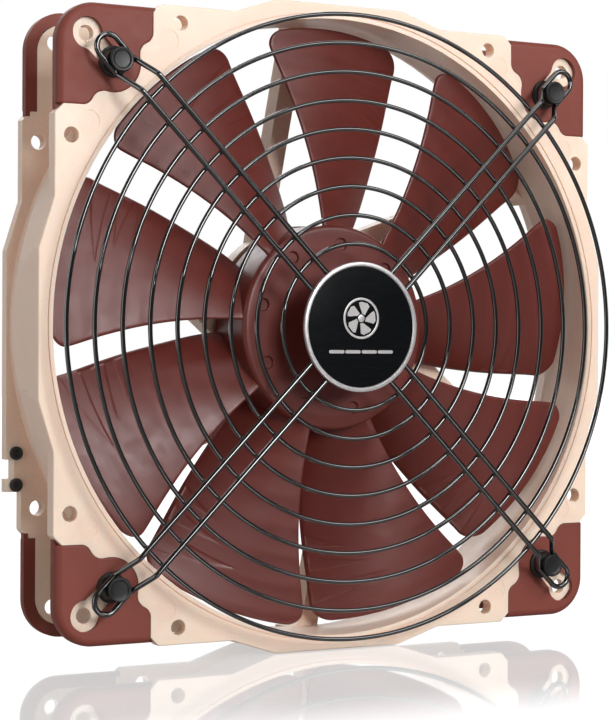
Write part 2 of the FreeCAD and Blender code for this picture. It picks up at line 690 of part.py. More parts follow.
def build_bearing():
    tube = washer("bearing_tube", "tube_inner", "tube_outer", "tube_low", "tube_top")
    bush = washer("bearing_bush", "shaft + bush_play", "tube_inner", "bush_low", "bush_top")
    seal = washer("oil_ring", "shaft + 0.5", "tube_inner", "bush_top", "tube_top")
    thrust = turned("thrust_pad", [("0", "tube_low"), ("tube_inner", "tube_low"),
                                   ("tube_inner", "tube_low + 1.2"), ("0", "tube_low + 1.2")])
    return [tube, bush, seal, thrust]


def cross(body, name, height, thick, half, reach):
    """Four arms in a cross, as one padded rectangle repeated around the axis."""
    arm = new_sketch(body, name, height=height)
    polygon(arm, [("tube_outer + 1", f"0 - {half}"), (reach, f"0 - {half}"), (reach, half),
                  ("tube_outer + 1", half)])
    return repeat(body, [pad(body, arm, thick)], 4)


def build_core():
    """The laminated core: a centre ring, four necks and four pole shoes."""
    thick = "core_top - core_low"
    core = washer("stator_core", "tube_outer", "core_ring", "core_low", "core_top")
    shoe = new_sketch(core, "pole_shoes", height="core_low")
    circle(shoe, "0", "0", "core_outer")
    circle(shoe, "0", "0", "shoe_inner")
    neck = new_sketch(core, "necks", height="core_low")
    polygon(neck, [("tube_outer + 1", "0 - neck_half"), ("shoe_inner + 1", "0 - neck_half"),
                   ("shoe_inner + 1", "neck_half"), ("tube_outer + 1", "neck_half")])
    repeat(core, [pad(core, neck, thick)], 4)
    pad(core, shoe, thick)
    gap = new_sketch(core, "shoe_gaps", height="core_top")
    side = "slot_half * 0.7071"
    polygon(gap, [(f"12 - {side}", f"12 + {side}"), (f"12 + {side}", f"12 - {side}"),
                  (f"20 + {side}", f"20 - {side}"), (f"20 - {side}", f"20 + {side}")])
    repeat(core, [pocket(core, gap, thick)], 4)
    return core


def build_insulator(label, low):
    """A moulded plate over one side of the core: a ring and four arms."""
    body = washer(label, "tube_outer", "core_ring", low, f"{low} + insulator")
    cross(body, label + "_arms", low, "insulator", "insulator_half", "shoe_inner")
    return body


def build_coils():
    """Four coils, each wound around a neck and both insulators."""
    coil = new_body("stator_coils_one")
    low = "core_low - insulator - coil_build"
    outer = new_sketch(coil, "coil_outline", height=low)
    polygon(outer, [("coil_inner", "0 - coil_half"), ("coil_outer", "0 - coil_half"),
                    ("coil_outer", "coil_half"), ("coil_inner", "coil_half")])
    pad(coil, outer, "core_top - core_low + 2 * insulator + 2 * coil_build")
    window = new_sketch(coil, "coil_window", height="core_top + insulator")
    polygon(window, [("coil_inner - 1", "0 - insulator_half"), ("coil_outer + 1", "0 - insulator_half"),
                     ("coil_outer + 1", "insulator_half"), ("coil_inner - 1", "insulator_half")])
    pocket(coil, window, "core_top - core_low + 2 * insulator")
    inner, outer_end, half = DIM["coil_inner"], DIM["coil_outer"], DIM["coil_half"]
    round_edges(coil, "coil_round", "coil_build",
                lambda e: any(upright_edge(e, x, y) for x in (inner, outer_end) for y in (half, -half)))
    doc.recompute()
    return ring_of(coil, "stator_coils", 4, 0)


def ring_of(item, label, count, first_angle):
    """A node of equal separate solids around the axis."""
    solids = []
    for index in range(count):
        solid = item.Shape.copy()
        solid.rotate(Vector(0, 0, 0), Vector(0, 0, 1), first_angle + 360 * index / count)
        solids.append(solid)
    feature = doc.addObject("Part::Feature", label)
    feature.Label = label
    feature.Shape = Part.makeCompound(solids)
    return feature


def block(label, x, y, z, length, width, height):
    box = doc.addObject("Part::Box", label)
    box.Length, box.Width, box.Height = length, width, height
    box.Placement = Placement(Vector(x - length / 2, y - width / 2, z), Rotation())
    return box


def build_electronics():
    board_top = DIM["board_low"] + DIM["board_thick"]
    board = washer("circuit_board", "boss_outer + 0.3", "board_outer", "board_low",
                   "board_low + board_thick")
    chip = block("driver_chip", -17, -8, board_top, 6, 5, 1.6)
    sensor = block("hall_sensor", 17.5, 17.5, board_top, 3, 4, 1.2)
    capacitor = doc.addObject("Part::Cylinder", "filter_capacitor")
    capacitor.Radius, capacitor.Height = 2, 1.9
    capacitor.Placement = Placement(Vector(-14, 15, board_top), Rotation())
    label = turned("rear_label", [("0", "0"), ("label_outer", "0"),
                                  ("label_outer", "label_thick"), ("0", "label_thick")])
    return [board, chip, sensor, capacitor, label]


def build_grommets():
    """Two rubber bushes that line the lead holes of the rear flange."""
    bush = turned("grommet", [("0", "0"), ("lead_hole", "0"), ("lead_hole", "flange"),
                              ("lead_hole + 0.4", "flange"), ("lead_hole + 0.4", "flange + 0.9"),
                              ("0", "flange + 0.9")])
    doc.recompute()
    solids = []
    for drop in ("lead_hole_y1", "lead_hole_y2"):
        solid = bush.Shape.copy()
        solid.translate(Vector(-DIM["lead_hole_x"], -DIM[drop], 0))
        solids.append(solid)
    feature = doc.addObject("Part::Feature", "lead_grommets")
    feature.Shape = Part.makeCompound(solids)
    return feature


# ---------------------------------------------------------------------------------------- guard

def build_rings():
    rings = []
    for index in range(int(DIM["ring_count"])):
        ring = doc.addObject("Part::Torus", f"guard_ring_{index + 1}")
        ring.setExpression("Radius1", dims(f"ring_outer - {index} * ring_pitch"))
        ring.setExpression("Radius2", dims("ring_wire"))
        ring.Placement = Placement(Vector(0, 0, DIM["ring_height"]), Rotation())
        rings.append(ring)
    return rings


def arm_path():
    """The hairpin's path along +X: in over the rings, a step down, around the stud and back."""
    high = DIM["ring_height"] + DIM["ring_wire"] + DIM["arm_wire"]
    low = DIM["arm_low"]
    side = DIM["arm_half"]
    kink, run = DIM["arm_kink"], DIM["arm_kink_run"] / 2
    corners = [Vector(DIM["arm_start"], side, high), Vector(kink - run, side, high),
               Vector(kink + run, side, low), Vector(DIM["arm_turn"], side, low)]
    edges = bent_line(corners, DIM["arm_bend"])
    far = Vector(DIM["arm_turn"] + side, 0, low)
    back = [Vector(point.x, -point.y, point.z) for point in reversed(corners)]
    edges.append(Part.Arc(corners[-1], far, back[0]).toShape())
    edges += bent_line(back, DIM["arm_bend"])
    return Part.Wire(edges)


def bent_line(corners, radius):
    """Straight runs through corners, joined by tangent arcs of one radius."""
    edges = []
    start = corners[0]
    for before, corner, after in zip(corners, corners[1:], corners[2:]):
        inward = (before - corner).normalize()
        outward = (after - corner).normalize()
        half_turn = inward.getAngle(outward) / 2
        cut = radius / math.tan(half_turn)
        first, last = corner + inward * cut, corner + outward * cut
        bisector = (inward + outward).normalize()
        middle = corner + bisector * (radius / math.sin(half_turn) - radius)
        edges.append(Part.makeLine(start, first))
        edges.append(Part.Arc(first, middle, last).toShape())
        start = last
    edges.append(Part.makeLine(start, corners[-1]))
    return edges


def build_arms():
    path = doc.addObject("Part::Feature", "arm_path")
    path.Shape = arm_path()
    first = path.Shape.Edges[0].firstVertex().Point
    arms = []
    for corner, angle in CORNERS.items():
        section = Part.Wire(Part.makeCircle(DIM["arm_wire"], first, Vector(1, 0, 0)))
        arm = doc.addObject("Part::Feature", f"guard_arm_{corner}")
        arm.Shape = path.Shape.Wires[0].makePipeShell([section], True, False)
        arm.Placement = Placement(Vector(0, 0, 0), Rotation(Vector(0, 0, 1), angle + 45))
        arms.append(arm)
    return arms


def build_badge():
    back = "ring_height + ring_wire + 2 * arm_wire"
    front = f"{back} + badge_thick"
    well = "badge_outer - badge_rim"
    floor = f"{back} + 0.4"
    rim = turned("badge_rim", [("0", back), ("badge_outer", back), ("badge_outer", front),
                               (well, front), (well, floor), ("0", floor)])
    face = turned("badge_face", [("0", floor), (well, floor), (well, f"{front} - badge_sink"),
                                 ("0", f"{front} - badge_sink")])
    return [rim, face]


def build_studs():
    """Rubber pull-through mounts: barb, neck in the flange, collar, waist in the loop, head."""
    floor = "depth - pad_skin"
    barb = "depth - flange"
    loop_low = "arm_low - arm_wire"
    loop_top = "arm_low + arm_wire"
    stud = turned("stud", [
        ("0", f"{barb} - stud_tail"), ("stud_neck - 0.6", f"{barb} - stud_tail"),
        ("stud_barb", f"{barb} - 1.2"), ("stud_barb", barb), ("stud_neck", barb),
        ("stud_neck", "depth"), ("stud_collar", "depth"), ("stud_collar", "depth + 0.9"),
        ("stud_waist + 1.1", loop_low), ("stud_waist", loop_low), ("stud_waist", loop_top),
        ("stud_head", loop_top), ("stud_head", "stud_top - 0.5"), ("stud_head - 0.5", "stud_top"),
        ("0", "stud_top")])
    doc.recompute()
    solids = []
    for index in range(4):
        solid = stud.Shape.copy()
        solid.translate(Vector(DIM["grid_small"], DIM["grid_small"], 0))
        solid.rotate(Vector(0, 0, 0), Vector(0, 0, 1), 90 * index)
        solids.append(solid)
    feature = doc.addObject("Part::Feature", "guard_mounts")
    feature.Shape = Part.makeCompound(solids)
    return feature


# ------------------------------------------------------------------------------------- assembly

def build_all():
    parts = [build_frame(), build_impeller(), build_core(), build_coils(), build_grommets(),
             build_studs()]
    parts += build_rotor() + build_bearing() + build_electronics()
    parts.append(build_insulator("insulator_front", "core_top"))
    parts.append(build_insulator("insulator_rear", "core_low - insulator"))
    parts += build_rings() + build_arms() + build_badge()
    for rear in (False, True):
        for corner in CORNERS:
            side = "rear" if rear else "front"
            item = corner_pad(f"pad_{side}_{corner}")
            item.Placement = corner_place(corner, rear)
            parts.append(item)
    doc.recompute()
    for item in parts:
        item.Placement = STAND_UP * item.Placement
    doc.recompute()
    return parts


def check(parts):
    """Stop on any failed object or bad shape before anything is written."""
    for item in doc.Objects:
        if "Invalid" in item.State or "Error" in item.State:
            raise RuntimeError(f"{item.Name} failed: {item.State}")
    for item in parts:
        if item.Shape.isNull() or not item.Shape.isValid() or not item.Shape.Solids:
            raise RuntimeError(f"{item.Label} has no valid solid")


def export(parts):
    os.makedirs("parts", exist_ok=True)
    for item in parts:
        item.Shape.exportStep(os.path.join("parts", item.Label + ".step"))
        print(f"{item.Label}: {len(item.Shape.Solids)} solid, {item.Shape.Volume:.1f} mm3")


nodes = build_all()
check(nodes)
export(nodes)
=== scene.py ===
"""Case fan with a wire finger guard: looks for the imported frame.

The intake faces -Y, +Z is up and the origin is the centre of the rear mounting face. Heights
above that face are called "high" and run along -Y. Lengths are in millimetres in outlines and in
the sections for the impeller and for the mounts and badge, and in metres everywhere else.
"""

import json
import math

import bmesh
import bpy
from mathutils import Matrix, Vector


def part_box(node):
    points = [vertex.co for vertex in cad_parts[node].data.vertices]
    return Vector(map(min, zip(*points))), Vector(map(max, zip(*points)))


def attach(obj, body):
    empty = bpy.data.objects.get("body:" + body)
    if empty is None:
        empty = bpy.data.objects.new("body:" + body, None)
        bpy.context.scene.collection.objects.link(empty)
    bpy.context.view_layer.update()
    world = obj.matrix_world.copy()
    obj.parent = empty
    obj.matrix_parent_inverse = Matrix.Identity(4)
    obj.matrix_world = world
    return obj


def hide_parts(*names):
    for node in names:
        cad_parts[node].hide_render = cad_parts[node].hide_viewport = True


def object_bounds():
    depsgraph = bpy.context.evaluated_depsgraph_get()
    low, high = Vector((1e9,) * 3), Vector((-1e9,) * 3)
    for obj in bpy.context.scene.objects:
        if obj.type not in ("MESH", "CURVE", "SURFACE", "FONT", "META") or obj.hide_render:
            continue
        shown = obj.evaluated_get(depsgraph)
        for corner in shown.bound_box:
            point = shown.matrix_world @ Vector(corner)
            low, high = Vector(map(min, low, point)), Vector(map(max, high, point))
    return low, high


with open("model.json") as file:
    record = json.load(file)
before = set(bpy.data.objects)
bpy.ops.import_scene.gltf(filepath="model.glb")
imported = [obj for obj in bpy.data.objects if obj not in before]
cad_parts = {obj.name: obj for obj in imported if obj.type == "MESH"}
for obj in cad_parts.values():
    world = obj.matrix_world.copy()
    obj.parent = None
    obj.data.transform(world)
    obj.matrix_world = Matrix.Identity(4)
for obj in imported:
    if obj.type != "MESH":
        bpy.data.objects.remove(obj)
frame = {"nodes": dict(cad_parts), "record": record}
CAD_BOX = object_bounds()
NODES = frame["nodes"]
MM = 0.001

# -------------------------------------------------------------------------------- materials

MATERIALS = {}
# Between these values of a texture, colour and roughness go from their low to their high end.
TEXTURE_LOW, TEXTURE_HIGH = 0.3, 0.7
# Pointiness at which an edge starts to look worn, and at which it is fully worn.
EDGE_START, EDGE_FULL = 0.52, 0.6
COAT_ROUGHNESS = 0.12
# Noise scales of moulded surfaces, per metre.
BLOTCH, SPECK, GLOSS, SPARK = 38, 1900, 220, 2600
# A Mix node's sockets by number: its float and its colour sockets share their names.
MIX_FACTOR, FLOAT_A, FLOAT_B, COLOUR_A, COLOUR_B = 0, 2, 3, 6, 7
FLOAT_OUT, COLOUR_OUT = 0, 2


def add_node(tree, kind, **values):
    """A new node in a tree; each value is an input socket's or else the node's own setting."""
    made = tree.nodes.new(kind)
    for key, value in values.items():
        if key in made.inputs:
            made.inputs[key].default_value = value
        else:
            setattr(made, key, value)
    return made


class Shader:
    """A node material under construction, with the texture coordinates already in place."""

    def __init__(self, name, colour, rough, metallic=0.0, coat=0.0, specular=0.5):
        self.material = bpy.data.materials.new(name)
        self.material.use_nodes = True
        self.tree = self.material.node_tree
        self.surface = self.tree.nodes["Principled BSDF"]
        self.surface.inputs["Base Color"].default_value = (*colour, 1)
        self.surface.inputs["Roughness"].default_value = rough
        self.surface.inputs["Metallic"].default_value = metallic
        self.surface.inputs["Coat Weight"].default_value = coat
        self.surface.inputs["Coat Roughness"].default_value = COAT_ROUGHNESS
        self.surface.inputs["Specular IOR Level"].default_value = specular
        self.place = self.node("ShaderNodeTexCoord").outputs["Object"]
        MATERIALS[name] = self.material

    def node(self, kind, **values):
        return add_node(self.tree, kind, **values)

    def join(self, source, target):
        self.tree.links.new(source, target)

    def stretched(self, scale):
        """Coordinates scaled by three factors, for grain that runs one way."""
        mapping = self.node("ShaderNodeMapping", Scale=scale)
        self.join(self.place, mapping.inputs["Vector"])
        return mapping.outputs["Vector"]

    def noise(self, scale, detail=3.0, rough=0.5, where=None):
        made = self.node("ShaderNodeTexNoise", Scale=scale, Detail=detail, Roughness=rough)
        self.join(where or self.place, made.inputs["Vector"])
        return made.outputs["Fac"]

    def ramp(self, source, low, high, start=TEXTURE_LOW, end=TEXTURE_HIGH):
        """Blend between two colours, or two greys, as a texture rises."""
        made = self.node("ShaderNodeValToRGB")
        made.color_ramp.elements[0].position = start
        made.color_ramp.elements[1].position = end
        made.color_ramp.elements[0].color = (*low, 1)
        made.color_ramp.elements[1].color = (*high, 1)
        self.join(source, made.inputs["Fac"])
        return made.outputs["Color"]

    def mix(self, factor, first, second):
        """Mix two colours; factor and colours may be plain values or another node's output."""
        made = self.node("ShaderNodeMix", data_type="RGBA", blend_type="MIX")
        for number, value in ((MIX_FACTOR, factor), (COLOUR_A, first), (COLOUR_B, second)):
            if hasattr(value, "is_output"):
                self.join(value, made.inputs[number])
            elif isinstance(value, tuple):
                made.inputs[number].default_value = (*value, 1)
            else:
                made.inputs[number].default_value = value
        return made.outputs[COLOUR_OUT]

    def colour(self, source):
        self.join(source, self.surface.inputs["Base Color"])

    def roughness(self, source, low, high):
        limits = {"From Min": TEXTURE_LOW, "From Max": TEXTURE_HIGH, "To Min": low, "To Max": high}
        made = self.node("ShaderNodeMapRange", **limits)
        self.join(source, made.inputs["Value"])
        self.join(made.outputs["Result"], self.surface.inputs["Roughness"])

    def bump(self, source, depth):
        """Give the surface a texture's relief, of a depth in metres."""
        made = self.node("ShaderNodeBump", Strength=1.0, Distance=depth)
        self.join(source, made.inputs["Height"])
        self.join(made.outputs["Normal"], self.surface.inputs["Normal"])

    def worn(self, base, edge, amount):
        """Lighten a colour along the convex edges."""
        sharp = self.node("ShaderNodeNewGeometry").outputs["Pointiness"]
        mask = self.ramp(sharp, (0, 0, 0), (amount, amount, amount), EDGE_START, EDGE_FULL)
        return self.mix(mask, base, edge)


def scaled(colour, factor):
    return tuple(min(1.0, channel * factor) for channel in colour)


def moulded(name, colour, rough, grain=0.00002, wear=0.5, spread=0.06, specular=0.5):
    """Moulded plastic or rubber: faint blotches, fine spark-eroded grain and paler edges."""
    shader = Shader(name, colour, rough, specular=specular)
    blotch = shader.noise(BLOTCH, 4)
    tone = shader.ramp(blotch, scaled(colour, 1 - spread), scaled(colour, 1 + spread))
    speck = shader.noise(SPECK, 2)
    tone = shader.mix(0.35, tone, shader.ramp(speck, scaled(colour, 0.9), scaled(colour, 1.1)))
    shader.colour(shader.worn(tone, scaled(colour, 1.25), wear))
    shader.roughness(shader.noise(GLOSS, 3), rough - 0.06, rough + 0.06)
    shader.bump(shader.noise(SPARK, 3, 0.6), grain)
    return shader


def metal(name, colour, rough, grain=(300, 300, 300), coat=0.0):
    """Bare metal with a drawn or turned grain."""
    shader = Shader(name, colour, rough, metallic=1.0, coat=coat)
    lines = shader.noise(4, 4, 0.6, shader.stretched(grain))
    shader.colour(shader.ramp(lines, scaled(colour, 0.85), scaled(colour, 1.1)))
    shader.roughness(lines, rough - 0.05, rough + 0.1)
    shader.bump(lines, 0.000008)


def make_mouldings():
    cream = moulded("frame_plastic", (0.87, 0.66, 0.53), 0.42, grain=0.000016, spread=0.03,
                    wear=0.25)
    cream.surface.inputs["Subsurface Weight"].default_value = 0.3
    cream.surface.inputs["Subsurface Radius"].default_value = (1.0, 0.55, 0.35)
    cream.surface.inputs["Subsurface Scale"].default_value = 0.004
    moulded("pad_rubber", (0.19, 0.044, 0.030), 0.55, grain=0.00003, wear=0.3, specular=0.3)
    moulded("impeller_plastic", (0.132, 0.023, 0.017), 0.37, grain=0.000014, wear=0.3,
            specular=0.4)
    moulded("mount_rubber", (0.009, 0.009, 0.009), 0.4, grain=0.00003, specular=0.35)
    moulded("grommet_rubber", (0.02, 0.02, 0.02), 0.5)
    moulded("seal_rubber", (0.02, 0.02, 0.02), 0.5)
    moulded("nylon", (0.80, 0.79, 0.74), 0.4)
    moulded("insulator_plastic", (0.78, 0.77, 0.72), 0.45)
    moulded("chip_plastic", (0.02, 0.02, 0.022), 0.5)
    moulded("magnet_ferrite", (0.05, 0.05, 0.055), 0.6)
    moulded("board_laminate", (0.03, 0.16, 0.07), 0.3)
    moulded("label_film", (0.62, 0.62, 0.63), 0.33, spread=0.02)


def make_metals():
    metal("rotor_steel", (0.55, 0.55, 0.56), 0.32)
    metal("insert_brass", (0.75, 0.56, 0.27), 0.25)
    metal("shaft_steel", (0.75, 0.75, 0.77), 0.15)
    metal("sintered_bronze", (0.50, 0.34, 0.18), 0.45)
    metal("core_steel", (0.38, 0.38, 0.40), 0.4, grain=(20, 900, 20))
    metal("copper", (0.72, 0.30, 0.14), 0.3, grain=(900, 900, 60), coat=0.4)
    metal("capacitor_can", (0.75, 0.75, 0.76), 0.25)


def make_badge_metal():
    """Satin metal of the badge's cup."""
    rim = Shader("badge_metal", (0.48, 0.46, 0.46), 0.34, metallic=0.55)
    satin = rim.noise(1500, 3)
    rim.colour(rim.ramp(satin, (0.45, 0.43, 0.43), (0.51, 0.49, 0.49)))
    rim.roughness(satin, 0.30, 0.38)
    rim.bump(satin, 0.000003)


def make_badge_black():
    """Black face of the badge, brushed from side to side."""
    face = Shader("badge_black", (0.003, 0.0035, 0.004), 0.25, specular=0.06)
    lines = face.noise(3, 4, 0.65, face.stretched((60, 60, 2500)))
    face.colour(face.ramp(lines, (0.002, 0.0025, 0.003), (0.006, 0.0065, 0.007)))
    face.roughness(lines, 0.20, 0.30)
    face.bump(lines, 0.000006)


def make_guard_steel():
    """Black gloss coat of the guard's wires, with a slight orange peel."""
    wire = Shader("guard_steel", (0.004, 0.004, 0.004), 0.07, coat=0.8, specular=0.7)
    wire.surface.inputs["Coat Roughness"].default_value = 0.03
    peel = wire.noise(900, 2)
    wire.colour(wire.ramp(wire.noise(150, 3), (0.003, 0.003, 0.003), (0.007, 0.006, 0.006)))
    wire.roughness(wire.noise(400, 3), 0.05, 0.09)
    wire.bump(peel, 0.000001)


make_mouldings()
make_metals()
make_badge_metal()
make_badge_black()
make_guard_steel()

SLOT_OF = {part["node"]: part["material_slot"] for part in frame["record"]["subparts"]}
BODY_OF = {node: body for body, members in frame["record"]["behaviour"]["bodies"].items()
           for node in members}
for name, node in NODES.items():
    node.data.materials.clear()
    node.data.materials.append(MATERIALS[SLOT_OF[name]])

# ------------------------------------------------------------------------------ piece tools

TINY = 1e-6
# Half angles above this are as good as straight, and such corners aren't rounded.
STRAIGHT = math.radians(87)
# A rounded corner takes up at most this share of the sides next to it.
CUT_SHARE = 0.48
WIRE_SIDES = 16


def spot(x, z, high):
    """A point given in millimetres across, up, and high above the rear face."""
    return Vector((x * MM, -high * MM, z * MM))


def polar(radius, degrees, high):
    turn = math.radians(degrees)
    return spot(radius * math.cos(turn), radius * math.sin(turn), high)


def finish_piece(name, mesh, node_names, smooth_angle=None):
    """Close a bmesh off as a piece that stands for CAD nodes and rides where they ride."""
    bmesh.ops.recalc_face_normals(mesh, faces=mesh.faces)
    for face in mesh.faces:
        face.smooth = True
    if smooth_angle is not None:
        limit = math.radians(smooth_angle)
        for edge in mesh.edges:
            if len(edge.link_faces) == 2 and edge.calc_face_angle() > limit:
                edge.smooth = False
    data = bpy.data.meshes.new(name)
    mesh.to_mesh(data)
    mesh.free()
    piece = bpy.data.objects.new(name, data)
    bpy.context.scene.collection.objects.link(piece)
    slot = SLOT_OF[node_names[0]]
    data.materials.append(MATERIALS[slot])
    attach(piece, BODY_OF[node_names[0]])
    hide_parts(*node_names)


def lathe(mesh, profile, steps, centre=(0, 0)):
    """Turn a closed (radius, high) profile about an axis along Y; points on the axis are shared."""
    x0, z0 = centre
    columns = []
    for radius, high in profile:
        if radius < TINY:
            columns.append([mesh.verts.new(spot(x0, z0, high))] * steps)
            continue
        column = []
        for index in range(steps):
            turn = 2 * math.pi * index / steps
            column.append(mesh.verts.new(spot(x0 + radius * math.cos(turn),
                                              z0 + radius * math.sin(turn), high)))
        columns.append(column)
    for first, second in zip(columns, columns[1:] + columns[:1]):
        for index in range(steps):
            after = (index + 1) % steps
            corners = [first[index], first[after], second[after], second[index]]
            unique = list(dict.fromkeys(corners))
            if len(unique) > 2:
                mesh.faces.new(unique)


def softened(profile, radius, steps):
    """Round a closed profile's corners; a corner's third value, if any, is its own radius."""
    points = []
    count = len(profile)
    for index, corner in enumerate(profile):
        here = Vector(corner[:2])
        wanted = corner[2] if len(corner) > 2 else radius
        inward = Vector(profile[index - 1][:2]) - here
        outward = Vector(profile[(index + 1) % count][:2]) - here
        if wanted == 0 or here.x < TINY or inward.length < TINY or outward.length < TINY:
            points.append(here)
            continue
        half = inward.angle(outward) / 2
        if half > STRAIGHT:
            points.append(here)
            continue
        cut = min(wanted / math.tan(half), inward.length * CUT_SHARE, outward.length * CUT_SHARE)
        first, last = here + inward.normalized() * cut, here + outward.normalized() * cut
        for step in range(steps + 1):
            part = step / steps
            points.append(first * (1 - part) ** 2 + here * 2 * part * (1 - part) + last * part ** 2)
    return [(point.x, point.y) for point in points]


def tube(mesh, path, radius, closed=False):
    """Sweep a circle along points, without twist; a radius may be a function of the index."""
    count = len(path)
    rings = []
    normal = None
    for index, point in enumerate(path):
        before = path[index - 1] if closed or index > 0 else point
        after = path[(index + 1) % count] if closed or index < count - 1 else point
        along = (after - before).normalized()
        if normal is None:
            normal = along.orthogonal().normalized()
        normal = (normal - along * normal.dot(along)).normalized()
        side = along.cross(normal)
        size = radius(index) if callable(radius) else radius
        rings.append([mesh.verts.new(point + size * (math.cos(turn) * normal
                                                     + math.sin(turn) * side))
                      for turn in (2 * math.pi * step / WIRE_SIDES for step in range(WIRE_SIDES))])
    pairs = list(zip(rings, rings[1:]))
    if closed:
        pairs.append((rings[-1], rings[0]))
    for first, second in pairs:
        for step in range(WIRE_SIDES):
            after = (step + 1) % WIRE_SIDES
            mesh.faces.new((first[step], first[after], second[after], second[step]))
    if not closed:
        mesh.faces.new(rings[0])
        mesh.faces.new(list(reversed(rings[-1])))


def blob(mesh, centre, sizes):
    """A small smooth lump with its own radius along X, Y and Z."""
    place = Matrix.Translation(centre) @ Matrix.Diagonal((*sizes, 1))
    bmesh.ops.create_icosphere(mesh, subdivisions=2, radius=1, matrix=place)


def steady(table, at):
    """Height at a place on the smooth curve through a table of (x, y) points."""
    last = len(table) - 1
    index = next((i for i in range(last) if at <= table[i + 1][0]), last - 1)

    def slope(i):
        low, high = table[max(i - 1, 0)], table[min(i + 1, last)]
        return (high[1] - low[1]) / (high[0] - low[0])

    (x0, y0), (x1, y1) = table[index], table[index + 1]
    width = x1 - x0
    part = (at - x0) / width
    return ((2 * part ** 3 - 3 * part ** 2 + 1) * y0 + (part ** 3 - 2 * part ** 2 + part)
            * width * slope(index) + (3 * part ** 2 - 2 * part ** 3) * y1
            + (part ** 3 - part ** 2) * width * slope(index + 1))


# ------------------------------------------------------------------------------------ impeller

# Sizes in this section are in millimetres.
HUB_RADIUS, HUB_TOP, HUB_LOW, HUB_WALL = 32.0, 27.0, 8, 1.8
BLADES = 9
# The blades start inside the hub's wall.
ROOT_RADIUS, TIP_RADIUS = 31, 93.6
# Angles of a blade's edges from its middle line, in degrees, at radii in millimetres.
LEADING = [(31, 6.2), (45, 7.4), (62, 9.8), (77, 12.3), (88, 14.1), (93.6, 14.2)]
TRAILING = [(31, -27.2), (38, -26.6), (52, -24.4), (66, -22.6), (84, -20.4), (93.6, -19.9)]
# The tip's corners are rounded from these radii outwards, by up to so many degrees.
LEAD_CORNER, LEAD_CUT = 89, 3.7
TRAIL_CORNER, TRAIL_CUT = 87.5, 4.4
# Heights of the middle surface at both edges next to the hub, and their change up to the tip.
LEAD_HIGH, LEAD_DROP = 25.2, 1.7
TRAIL_HIGH, TRAIL_RISE = 9.9, 2.1
# How far the middle surface bulges between its edges.
BULGE = 2.0
# Outside this radius, heights still follow the angles that the edges have at it.
LAST_ANGLES = 84
HALF_THICK = 0.8
# The section is round over this distance from an edge; at the tip, distances count for more.
EDGE_ROUND, TIP_STRETCH = 0.9, 1.6
# At the hub the half thickness grows by FILLET_DEEP. That fades over FILLET_REACH outside
# FILLET_FOOT, and within FILLET_INSET of the blade's edges.
FILLET_FOOT, FILLET_REACH, FILLET_DEEP, FILLET_INSET = 31.5, 2.6, 0.9, 2
COLUMNS, CROWDING = 72, 0.35
# Spacing of a blade's rows near the hub and where the channels are, and rows at the tip.
WIDE_ROWS, CLOSE_ROWS, TIP_ROWS = 1.8, 0.3, 9
CLOSE_FROM = 64
HUB_STEPS = 720
# Shallow wedge-shaped channels on the intake side: point, then the ends of both sides.
CHANNELS = [((80.5, -2.0), (88.4, -20.5), (80.6, -20.9)),
            ((75.6, -7.0), (77.6, -20.9), (72.5, -21.4)),
            ((70.2, -11.0), (69.6, -21.7), (65.8, -22.2))]
CHANNEL_DEEP, CHANNEL_WALL, CHANNEL_BOW = 0.16, 0.3, 1.15


def blade_edges(radius):
    """Angles of the trailing and leading edge, with the tip's corners rounded off."""
    lead, trail = steady(LEADING, radius), steady(TRAILING, radius)
    near_lead = max(0.0, min(1.0, (radius - LEAD_CORNER) / (TIP_RADIUS - LEAD_CORNER)))
    near_trail = max(0.0, min(1.0, (radius - TRAIL_CORNER) / (TIP_RADIUS - TRAIL_CORNER)))
    return (trail + TRAIL_CUT * (1 - math.sqrt(1 - near_trail ** 2)),
            lead - LEAD_CUT * (1 - math.sqrt(1 - near_lead ** 2)))


def blade_high(radius, angle):
    """Height of a blade's middle surface."""
    span = (radius - HUB_RADIUS) / (TIP_RADIUS - HUB_RADIUS)
    lead, trail = LEAD_HIGH - LEAD_DROP * span, TRAIL_HIGH + TRAIL_RISE * span
    inner = min(radius, LAST_ANGLES)
    low, high = steady(TRAILING, inner), steady(LEADING, inner)
    part = (angle - low) / (high - low)
    return trail + (lead - trail) * part + 4 * BULGE * part * (1 - part)


def channel_depth(radius, angle):
    """How far the channels sink the surface at a place, in millimetres."""
    depth = 0.0
    for (tip_radius, tip_angle), outer, inner in CHANNELS:
        if angle > tip_angle:
            continue
        part = (tip_angle - angle) / (tip_angle - outer[1])
        top = tip_radius + (outer[0] - tip_radius) * part ** CHANNEL_BOW
        bottom = tip_radius + (inner[0] - tip_radius) * part
        inside = min(top - radius, radius - bottom)
        depth = max(depth, CHANNEL_DEEP * max(0.0, min(1.0, inside / CHANNEL_WALL)))
    return depth


def blade_rows():
    """Radii of a blade's rows, close together at the channels and at the tip."""
    rows = [ROOT_RADIUS + WIDE_ROWS * step for step in range(19)]
    rows += [CLOSE_FROM + CLOSE_ROWS * step for step in range(83)]
    tip = TIP_RADIUS - LEAD_CORNER
    rows += [LEAD_CORNER + tip * math.sin(math.pi / 2 * step / TIP_ROWS)
             for step in range(TIP_ROWS + 1)]
    return rows


def half_thickness(radius, inset):
    """Half of a blade's thickness at a distance from its nearest edge, with the hub's fillet."""
    edge = min(1.0, inset / EDGE_ROUND)
    half = HALF_THICK * math.sqrt(max(0.0, 1 - (1 - edge) ** 2))
    root = 1.0
    if radius > FILLET_FOOT:
        root = max(0.0, 1 - (radius - FILLET_FOOT) / FILLET_REACH) ** 2
    return half + FILLET_DEEP * root * min(1.0, inset / FILLET_INSET)


